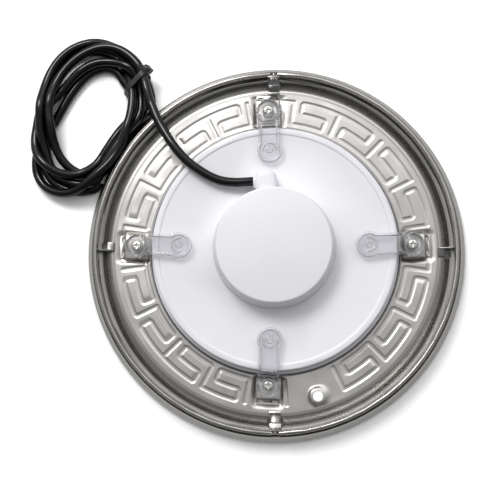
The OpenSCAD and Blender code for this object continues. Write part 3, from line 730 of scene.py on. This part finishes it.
def cable_line(thick):
    """The cable's centreline: the route from the gland, then the coil's turns, settled."""
    at = np.linspace(COIL_FROM, COIL_TO, 420)
    angle = np.radians(270 + 30 * at)
    offset, height = (cubic(at, np.ravel(knots)) for knots in (TURN_OFFSETS, TURN_HEIGHTS))
    coil = np.column_stack([coil_plan(angle, offset), height])
    lead = cubic(np.linspace(0, len(CABLE_ROUTE) - 1, 48), CABLE_ROUTE)
    step = 3.2
    held = int(np.linalg.norm(np.diff(lead[:-2], axis=0), axis=1).sum() / step)
    line = settle(evenly(np.concatenate([lead, coil]), step), held, thick)
    return evenly(cubic(np.linspace(0, len(line) - 1, 3 * len(line)), line), 1.3)


class POOL_LIGHT_OT_cable(bpy.types.Operator):
    """Makes the cable with its coil"""

    bl_idname = "pool_light.cable"
    bl_label = "Cable"

    def execute(self, context):
        thick = context.scene.pool_light_sizes.cable_d
        line = cable_line(thick / MM) * MM
        points, faces = round_tube(line, thick / 2, 16)
        cable = new_piece("cable_tube", points, faces, "cable", "cable_rubber", "cable", "cable_coil")
        tie = make_tie(line / MM, thick / MM)
        return {"FINISHED"}


# ---- tie round the coil, and the gland

# The tie: where it crosses the bundle, the bundle's direction there, the strap's width and thickness, and the
# half sizes and cut edges of its head and of its tail
TIE_AT, TIE_ALONG = (-99.5, 126.0), (0.667, -0.745)
TIE_W, TIE_T = 4.2, 1.1
TIE_HEAD, TIE_TAIL = ((3.4, 3.0, 2.3), 0.5), ((4.2, 1.7, 0.5), 0.15)


def tie_loop(line, thick):
    """The tie's middle line in the plane across the bundle: the outline round the strands that pass there."""
    at, along = np.array([*TIE_AT, 0.0]), np.array([*TIE_ALONG, 0.0])
    across = np.array([-along[1], along[0], 0.0])
    side = (line - at) @ along
    cross = np.nonzero(np.diff(np.sign(side)) != 0)[0]
    spots = np.column_stack([(line[cross] - at) @ across, line[cross, 2]])
    spots = spots[np.abs(spots[:, 0]) < 20]
    if len(spots) < 3:
        raise RuntimeError(f"only {len(spots)} strands pass through the tie")
    outline = (spots[:, None] + (thick / 2 + 0.1 + TIE_T / 2) * circle(40)).reshape(-1, 2)
    outline = outline[convex_hull_2d(outline.tolist())]
    outline = np.roll(outline, -int(np.lexsort(outline.T[::-1])[0]), 0)
    outline = evenly(np.vstack([outline, outline[:1]]), 1.2)[:-1]
    for _ in range(3):
        outline = (np.roll(outline, 1, 0) + 2 * outline + np.roll(outline, -1, 0)) / 4
    grown = outline - outline.mean(0)
    outline = outline.mean(0) + grown * (1 + 0.12 / np.linalg.norm(grown, axis=1, keepdims=True))
    outline[:, 1] = np.maximum(outline[:, 1], TIE_T / 2 + 0.02)
    return at, along, across, outline


def rounded_box(half, bevel):
    """A box with its edges cut: the corners of three boxes, each shorter by the bevel in two directions."""
    signs = np.array([(x, y, z) for x in (-1, 1) for y in (-1, 1) for z in (-1, 1)])
    return np.concatenate([signs * (np.array(half) - bevel * cut) for cut in 1 - np.eye(3)])


def solid_hull(name, points, finish, slot, body="light"):
    """A convex piece round the points, in metres."""
    shape = bmesh.new()
    for p in points:
        shape.verts.new(p)
    made = bmesh.ops.convex_hull(shape, input=shape.verts)
    inside = [v for v in made["geom_interior"] if isinstance(v, bmesh.types.BMVert)]
    bmesh.ops.delete(shape, geom=inside, context="VERTS")
    bmesh.ops.recalc_face_normals(shape, faces=shape.faces)
    mesh = bpy.data.meshes.new(name)
    shape.to_mesh(mesh)
    shape.free()
    paint(mesh, finish)
    fit(put(name, mesh), body, slot)
    return name


def make_tie(line, thick):
    """The tie: a flat strap along the loop, its locking head at the ring's side and a cut tail."""
    at, along, across, loop = tie_loop(line, thick)
    ahead = unit(np.roll(loop, -1, 0) - np.roll(loop, 1, 0))
    out = np.column_stack([ahead[:, 1], -ahead[:, 0]])
    rows = []
    for d, w in ((-0.5, -0.5), (0.5, -0.42), (0.5, 0.42), (-0.5, 0.5)):
        flat = loop + out * d * TIE_T
        flat[:, 1] = np.maximum(flat[:, 1], 0.01)
        rows.append(at + flat[:, :1] * across + flat[:, 1:] * [0, 0, 1] + along * w * TIE_W)
    points = np.stack(rows, axis=1).reshape(-1, 3)
    new_piece("tie_strap", points * MM, grid_faces(len(loop), 4, True, True), "tie", "tie_nylon", "cable_tie")
    k = int(np.argmax(loop[:, 0] + 0.35 * loop[:, 1]))
    up, way = (side[k, 0] * across + np.array([0, 0, side[k, 1]]) for side in (out, ahead))
    axes = np.stack([way, along, up])
    head_at = at + loop[k, 0] * across + np.array([0, 0, loop[k, 1]]) + 2.0 * up
    head = rounded_box(*TIE_HEAD) @ axes + head_at
    tail = rounded_box(*TIE_TAIL) @ axes + head_at + 1.1 * up + 6.4 * way
    return ["tie_strap", solid_hull("tie_head", head * MM, "tie", "tie_nylon"),
            solid_hull("tie_tail", tail * MM, "tie", "tie_nylon")]


# The gland: its hood's middle, half sizes, roundness, foot, top, rounding and crown (share, rise over the top),
# and its mouth's axis and section (place along X, radius, bend radius)
HOOD_AT, HOOD_HALF, HOOD_POWER = (-5.7, 45.3), (8.0, 8.4), 2.7
HOOD_FOOT, HOOD_TOP, HOOD_ROUND = 20.6, 33.0, 4.0
HOOD_CROWN = [(0.32, 0.12), (0.0, 0.15)]
MOUTH_Y, MOUTH_Z = 45.7, 27.0
MOUTH_LINE = [(-9.0, 3.9, 0), (-14.0, 3.9, 0.15), (-14.3, 4.25, 0.15), (-14.0, 4.75, 0.3), (-11.0, 5.0, 1.0),
              (-9.0, 5.6, 0)]


class POOL_LIGHT_OT_gland(bpy.types.Operator):
    """Makes the cable gland beside the cap: a crowned hood with a flared mouth round the cable"""

    bl_idname = "pool_light.gland"
    bl_label = "Gland"

    def execute(self, context):
        """The hood's plan is the superellipse |x/a|^n + |y/b|^n = 1, drawn in to its top by a quarter round.
        The mouth is a turned tube along -X."""
        plan = circle(72)
        plan = HOOD_HALF * np.sign(plan) * np.abs(plan) ** (2 / HOOD_POWER)
        drawn = HOOD_ROUND / (sum(HOOD_HALF) / 2)
        levels = [(1.0, HOOD_FOOT)]
        for t in np.linspace(0, np.pi / 2, 12)[:-1]:
            levels.append((1 - drawn * (1 - np.cos(t)), HOOD_TOP - HOOD_ROUND + HOOD_ROUND * np.sin(t)))
        (share, rise), (_, tip) = HOOD_CROWN
        levels.append((share, HOOD_TOP + rise))
        rows = [raised(plan * k + HOOD_AT, z) for k, z in levels]
        points, faces = closed_rows(rows, [*HOOD_AT, HOOD_TOP + tip])
        new_piece("gland_hood", points * MM, faces, "white", "white_plastic", "gland_elbow")
        x, r = bent(MOUTH_LINE).T
        cos, sin = circle(64).T[..., None]
        tube = np.stack([x + 0 * cos, MOUTH_Y + r * cos, MOUTH_Z + r * sin], axis=-1)
        new_piece("gland_mouth", tube * MM, grid_faces(len(cos), len(x), True, True), "white", "white_plastic")
        return {"FINISHED"}


# ---- face ring, in millimetres until drawn

# The middle of the sheet from the lip to the free edge: radius, height, bend radius
PLATE_LINE = [(82.4, 1.5, 0), (88.9, 1.5, 0.9), (88.9, 8.9, 1.2), (114.0, 8.9, 0)]
RIM_LINE = [(114.0, 8.9, 0), (116.3, 8.9, 2.4), (123.25, 6.0, 3.0), (129.6, 6.0, 1.0), (130.9, 0.5, 1.0),
            (134.5, 0.5, 1.6), (134.5, 4.0, 3.0), (130.4, 10.8, 0)]
SHEET = 1.0
# The key pattern: the clock angles of its radial channels, its three circles, and the cells that differ
KEY_BARS = (7.6, 25.6, 44.6, 63.2, 81.2, 98.2, 116.8, 135.4, 154.0, 175.8, 191.2, 208.2, 226.2, 244.4, 262.8,
            279.4, 297.6, 316.2, 333.4, 349.6)
KEY_LOW, KEY_MID, KEY_TOP = 92.6, 100.9, 109.2
KEY_TURNED = (1, 12, 13, 18)
KEY_EMPTY = (8, 9)
KEY_HALF, KEY_SLOPE, KEY_DEPTH = 1.3, 1.1, 0.5
# Each cell: share of its width at which the S turns back, and at which it turns again
KEY_FAR, KEY_NEAR = 0.78, 0.19
# How finely the sheet is cut: along its section on the rear and the front, round the axis in degrees (reach of
# the channels' edges, fine, coarse), and across the plate (reach of the pattern's circles, coarse)
PLATE_STEPS, RIM_STEPS, TURN_STEPS = (0.47, 1.1), (1.2, 2.0), (1.2, 0.26, 1.1)
KEY_REACH, KEY_COARSE = 2.2, 1.3
# The seats' clock angles and how far out their screws are
SEATS = {12: (357.7, 99.7), 3: (88.9, 96.4), 6: (182.7, 95.5), 9: (271.3, 97.2)}
# The pockets under them: inner edge, outer edge past the screw, half width, corner radius, slope and depth
POCKET_IN, POCKET_OUT, POCKET_HALF, POCKET_ROUND, POCKET_SLOPE, POCKET_DEPTH = 89.9, 14.2, 10.0, 2.0, 4.2, 1.5
# The pilot hole: its clock angle, radius from the axis and diameter, and its cone's height and width
PILOT_ANGLE, PILOT_R, PILOT_D, PILOT_RISE, PILOT_CONE = 163.9, 106.9, 7.0, 2.0, 3.4
# The flat part of the plate, which is what is pressed
FLAT_IN, FLAT_OUT = 89.6, 114.0
# The holes in the trough: how far out, and each one's clock angle, shift along the trough and radius
TROUGH_R = 121.5
TROUGH_HOLES = [(0, 0, 6.0), (180, 0, 6.0), (90, 4.0, 3.3), (270, 4.0, 3.3)]


def clock(angle, r):
    """The place at a clock angle in degrees, clockwise from +Y, and a radius."""
    a = np.radians(angle)
    return np.stack([r * np.sin(a), r * np.cos(a)], axis=-1)


def key_line(k):
    """The middle line of cell k's channel: down the radial bar and then the S to the next bar."""
    start = KEY_BARS[k]
    pitch = (KEY_BARS[(k + 1) % len(KEY_BARS)] - start) % 360
    near, far = (KEY_TOP, KEY_LOW) if k in KEY_TURNED else (KEY_LOW, KEY_TOP)
    if k in KEY_EMPTY:
        turns = [(0, far), (0, near)]
    else:
        turns = [(0, far), (0, near), (KEY_FAR, near), (KEY_FAR, KEY_MID), (KEY_NEAR, KEY_MID), (KEY_NEAR, far),
                 (1, far)]
    corners = []
    for i, (f, r) in enumerate(turns):
        corners.append((*clock(start + f * pitch, r), 1.6))
        if i + 1 < len(turns) and turns[i + 1][1] == r:
            g = turns[i + 1][0]
            corners += [(*clock(start + (f + (g - f) * j / 5) * pitch, r), 0.2) for j in range(1, 5)]
    return bent(corners, math.radians(20))


def pressed(a, r):
    """How far the plate lies below or above its plane, from the angle in radians and the radius.

    A channel of the key pattern is depth * (1 - ease((d - half + slope / 2) / slope)) at a distance d from its
    middle line; pockets are the same with the distance to a rounded box, and the pilot hole has a cone."""
    angle = np.degrees(a)
    flat = np.stack([r * np.sin(a), r * np.cos(a)], axis=-1)
    on_plate = (r > FLAT_IN) & (r < FLAT_OUT)
    drop = np.zeros_like(r)
    for k, start in enumerate(KEY_BARS):
        pitch = (KEY_BARS[(k + 1) % len(KEY_BARS)] - start) % 360
        near = on_plate & ((angle - start + 3) % 360 < pitch + 6)
        d = distance_to(flat[near], key_line(k))
        drop[near] = np.maximum(drop[near], 1 - ease((d - KEY_HALF + KEY_SLOPE / 2) / KEY_SLOPE))
    height = -KEY_DEPTH * drop
    for seat_angle, seat_r in SEATS.values():
        out = clock(seat_angle, 1.0)
        along, across = flat @ out, np.abs(flat @ [out[1], -out[0]])
        outer = seat_r + POCKET_OUT
        dx = np.maximum(across - POCKET_HALF + POCKET_ROUND, 0)
        dy = np.maximum(np.abs(along - (POCKET_IN + outer) / 2) - (outer - POCKET_IN) / 2 + POCKET_ROUND, 0)
        share = on_plate * (1 - ease((np.hypot(dx, dy) - POCKET_ROUND + 1.6) / POCKET_SLOPE))
        height = height * (1 - share) - POCKET_DEPTH * share
    d = np.linalg.norm(flat - clock(PILOT_ANGLE, PILOT_R), axis=-1)
    height = height * ease((d - 6.5) / 3.0) + PILOT_RISE * (1 - ease((d - PILOT_D / 2 - 1.0) / PILOT_CONE))
    wave = (0.05 * np.sin(9 * a + 1.0) * np.sin(r * 0.21) + 0.04 * np.sin(17 * a + 2.0)
            + 0.03 * np.sin(31 * a + r * 0.3))
    return height + wave * ease((r - 90) / 4) * ease((FLAT_OUT - r) / 3)


class POOL_LIGHT_OT_ring(bpy.types.Operator):
    """Makes the pressed face ring with its key pattern"""

    bl_idname = "pool_light.ring"
    bl_label = "Face ring"

    def execute(self, context):
        pitch = 360 / len(KEY_BARS)
        edges = [start + share * pitch for start in KEY_BARS for share in (-0.02, 0, KEY_NEAR, KEY_FAR)]
        hole = rod(*clock(PILOT_ANGLE, PILOT_R), 0, 20, PILOT_D / 2)
        trough = [rod(*clock(angle, TROUGH_R) + shift * clock(angle + 90, 1.0), 3, 13, r)
                  for angle, shift, r in TROUGH_HOLES]
        for name, corners, steps, angles, lift, finish, cutters in (
            ("ring_plate", PLATE_LINE, PLATE_STEPS, graded(0, 360, edges, *TURN_STEPS)[:-1], pressed,
             "ring_steel", [hole]),
            ("ring_rim", RIM_LINE, RIM_STEPS, np.arange(720) / 2, None, "rim_steel", trough),
        ):
            middle = bent(corners, math.radians(12))
            sides = []
            for step, side in zip(steps, (1, -1)):
                line = divided(middle, step)
                if lift:
                    (low, z), (high, _) = middle[-2:]
                    r = graded(low, high, (KEY_LOW, KEY_MID, KEY_TOP), KEY_REACH, step, KEY_COARSE)
                    line = np.vstack([divided(middle[:-1], 2.0)[:-1], np.column_stack([r, r * 0 + z])])
                sides.append(beside(line, side * SHEET / 2))
            points, faces = turned(np.concatenate([sides[0], sides[1][::-1]]), angles, lift)
            piece = new_piece(name, points * MM, faces, finish, "pressed_steel", "face_ring")
            cut_out(piece, [(points * MM, faces) for points, faces in cutters])
        return {"FINISHED"}


# ---- CAD nodes that keep their shape

# A moulding's cubes, in millimetres, and its rounds of smoothing
MOULD_VOXEL, MOULD_ROUNDS = 0.33, 7


def copy_of(node, finish):
    """A CAD node's shape as a piece of the scene, with a finish."""
    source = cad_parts[node]
    mesh = source.data.copy()
    mesh.transform(source.matrix_world)
    paint(mesh, finish)
    return put(node + "_soft", mesh)


def moulded(node, finish, slot, body):
    """A piece with the shape of a CAD node and its edges rounded as in a moulding: remeshed and smoothed."""
    piece = copy_of(node, finish)
    cubes = piece.modifiers.new("cubes", "REMESH")
    cubes.mode, cubes.voxel_size, cubes.use_smooth_shade = "VOXEL", MOULD_VOXEL * MM, True
    level = piece.modifiers.new("level", "SMOOTH")
    level.factor, level.iterations = 0.5, MOULD_ROUNDS
    apply_modifiers(piece)
    fit(piece, body, slot, node)


def softened(node, width, finish, slot, body="light"):
    """A piece with the shape of a CAD node and its edges rounded: welded, flat areas joined and bevelled."""
    piece = copy_of(node, finish)
    shape = bmesh.new()
    shape.from_mesh(piece.data)
    bmesh.ops.remove_doubles(shape, verts=shape.verts, dist=2e-6)
    bmesh.ops.dissolve_limit(shape, angle_limit=math.radians(2), verts=shape.verts, edges=shape.edges)
    shape.to_mesh(piece.data)
    shape.free()
    bevel = piece.modifiers.new("edges", "BEVEL")
    bevel.width, bevel.segments = width * MM, 2
    bevel.limit_method, bevel.angle_limit = "ANGLE", math.radians(38)
    apply_modifiers(piece)
    shade(piece.data, 35)
    fit(piece, body, slot, node)


# The CAD nodes that keep their mesh, by finish
PAINTED = {
    "spring_steel": ["spring_washers"],
    "screw_steel": ["flat_washers", "board_screws", "driver_screws"],
    "lens": ["front_lens"],
    "gasket": ["lens_gasket", "gland_seal"],
    "board_white": ["light_board"],
    "phosphor": ["light_chips"],
    "board_green": ["driver_board"],
    "part_black": ["driver_parts"],
}


class POOL_LIGHT_OT_nodes(bpy.types.Operator):
    """Gives the solids that stay in view their finishes"""

    bl_idname = "pool_light.nodes"
    bl_label = "Solids"

    def execute(self, context):
        for c in SEATS:
            moulded(f"clamp_{c}", "clear", "clear_plastic", f"clamp_{c}")
            softened(f"clamp_seat_{c}", 0.25, "ring_steel", "pressed_steel")
        softened("snap_band", 0.12, "band_steel", "band_steel")
        for c in (12, 6):
            softened(f"spring_clip_{c}", 0.1, "spring_steel", "spring_steel", f"spring_clip_{c}")
        for c in (3, 9):
            # The fins get the darkened steel, a painted shade in place of the dark surroundings they reflect
            softened(f"locating_fin_{c}", 0.15, "dark_steel", "pressed_steel")
        softened("clamp_screws", 0.12, "screw_steel", "screw_steel")
        for node in ("rear_shell", "junction_cap"):
            softened(node, 0.3, "white", "white_plastic")
        for finish, nodes in PAINTED.items():
            for node in nodes:
                paint(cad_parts[node].data, finish)
        return {"FINISHED"}


# ---- small marks, floor and light

# Each mark, at its image point: the piece that carries it, its radius, finish, slot and body
MARKS = {
    "weld_left": ("spring_clip_12_soft", 0.75, "dark_steel", "spring_steel", "spring_clip_12"),
    "weld_right": ("spring_clip_12_soft", 0.75, "dark_steel", "spring_steel", "spring_clip_12"),
    "cap_tick": ("junction_cap_soft", 0.7, "white", "white_plastic", "light"),
}
MARK_RISE = 0.3


class POOL_LIGHT_OT_marks(bpy.types.Operator):
    """Puts the small marks on the finished surfaces: the weld spots on the upper spring and the cap's tick"""

    bl_idname = "pool_light.marks"
    bl_label = "Small marks"

    def execute(self, context):
        """Each mark is a low dome, z = h (1 - (r / R)^2), closed by its foot."""
        for name, (carrier, radius, finish, slot, body) in MARKS.items():
            place, normal = place_on(name, bpy.data.objects[carrier])
            rows = [raised(radius * r * circle(24), MARK_RISE * (1 - r * r)) for r in np.linspace(1, 0.2, 5)]
            points, faces = closed_rows(rows, [0, 0, MARK_RISE], [0, 0, -MARK_RISE / 2])
            turn = np.array(normal.to_track_quat("Z", "Y").to_matrix())
            new_piece(name, points * MM @ turn.T + np.array(place), faces, finish, slot, body=body)
        return {"FINISHED"}


class POOL_LIGHT_OT_stage(bpy.types.Operator):
    """Makes the pale floor and the soft light"""

    bl_idname = "pool_light.stage"
    bl_label = "Stage"

    def execute(self, context):
        scene = context.scene
        scene.view_settings.view_transform = "Standard"
        corners = [(x * FLOOR_HALF, y * FLOOR_HALF, 0) for x, y in ((-1, -1), (1, -1), (1, 1), (-1, 1))]
        mesh = mesh_of("floor", corners, [(0, 1, 2, 3)])
        mesh.materials.append(floor_paper())
        put("floor", mesh)
        scene.world = studio_world()
        light = bpy.data.lights.new("key", "AREA")
        light.shape = "RECTANGLE"
        light.size, light.size_y = KEY_SIDES
        light.energy = KEY_WATTS
        lamp = put("key", light)
        lamp.location = KEY_AT
        lamp.rotation_mode = "QUATERNION"
        lamp.rotation_quaternion = (-Vector(KEY_AT)).to_track_quat("-Z", "Y")
        return {"FINISHED"}


# ---- panel and running

OPERATORS = [
    POOL_LIGHT_OT_camera,
    POOL_LIGHT_OT_cable,
    POOL_LIGHT_OT_gland,
    POOL_LIGHT_OT_ring,
    POOL_LIGHT_OT_nodes,
    POOL_LIGHT_OT_marks,
    POOL_LIGHT_OT_stage,
]


class POOL_LIGHT_PT_panel(bpy.types.Panel):
    bl_label = "Pool Light"
    bl_space_type = "VIEW_3D"
    bl_region_type = "UI"
    bl_category = "Pool Light"

    def draw(self, context):
        for group in (context.scene.pool_light_sizes, context.scene.pool_light_finishes):
            for key in group.bl_rna.properties.keys():
                if key not in ("rna_type", "name"):
                    self.layout.prop(group, key)
        for operator in OPERATORS:
            self.layout.operator(operator.bl_idname)


CLASSES = [PoolLightSizes, PoolLightFinishes, *OPERATORS, POOL_LIGHT_PT_panel]


def register():
    for cls in CLASSES:
        bpy.utils.register_class(cls)
    bpy.types.Scene.pool_light_sizes = PointerProperty(type=PoolLightSizes)
    bpy.types.Scene.pool_light_finishes = PointerProperty(type=PoolLightFinishes)


def unregister():
    del bpy.types.Scene.pool_light_finishes
    del bpy.types.Scene.pool_light_sizes
    for cls in reversed(CLASSES):
        bpy.utils.unregister_class(cls)


def point_offsets():
    """How far in x and y each named thing shows from its image point."""
    at = {name: showing(name) for name in MARKS}
    at["gland"] = showing("gland_hood", behind=("gland_hood", "junction_cap_soft", "cable_tube"))
    at["tie"] = showing("tie_strap", behind=("tie_strap", "tie_head", "tie_tail", "cable_tube"))
    at["pilot_hole"] = showing("ring_plate", clock(PILOT_ANGLE, PILOT_R) * MM, (PILOT_D / 2 + 0.05) * MM)
    for c, (angle, r) in SEATS.items():
        at[f"screw_{c}"] = showing("clamp_screws_soft", clock(angle, r) * MM, 4.5 * MM, ("clamp_screws_soft",))
    found = {name: (pixels.min(0) + pixels.max(0)) / 2 for name, pixels in at.items()}
    rim = showing("ring_rim")
    for name, k in (("ring_left", rim[:, 0].argmin()), ("ring_right", rim[:, 0].argmax()),
                    ("ring_top", rim[:, 1].argmin()), ("ring_bottom", rim[:, 1].argmax())):
        found[name] = rim[k]
    return {name: [round(float(d), 1) for d in found[name] - IMAGE_POINTS[name]] for name in IMAGE_POINTS}


def main():
    register()
    for operator in OPERATORS:
        space, name = operator.bl_idname.split(".")
        getattr(getattr(bpy.ops, space), name)()
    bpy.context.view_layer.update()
    point_offsets()


if __name__ == "__main__":
    main()
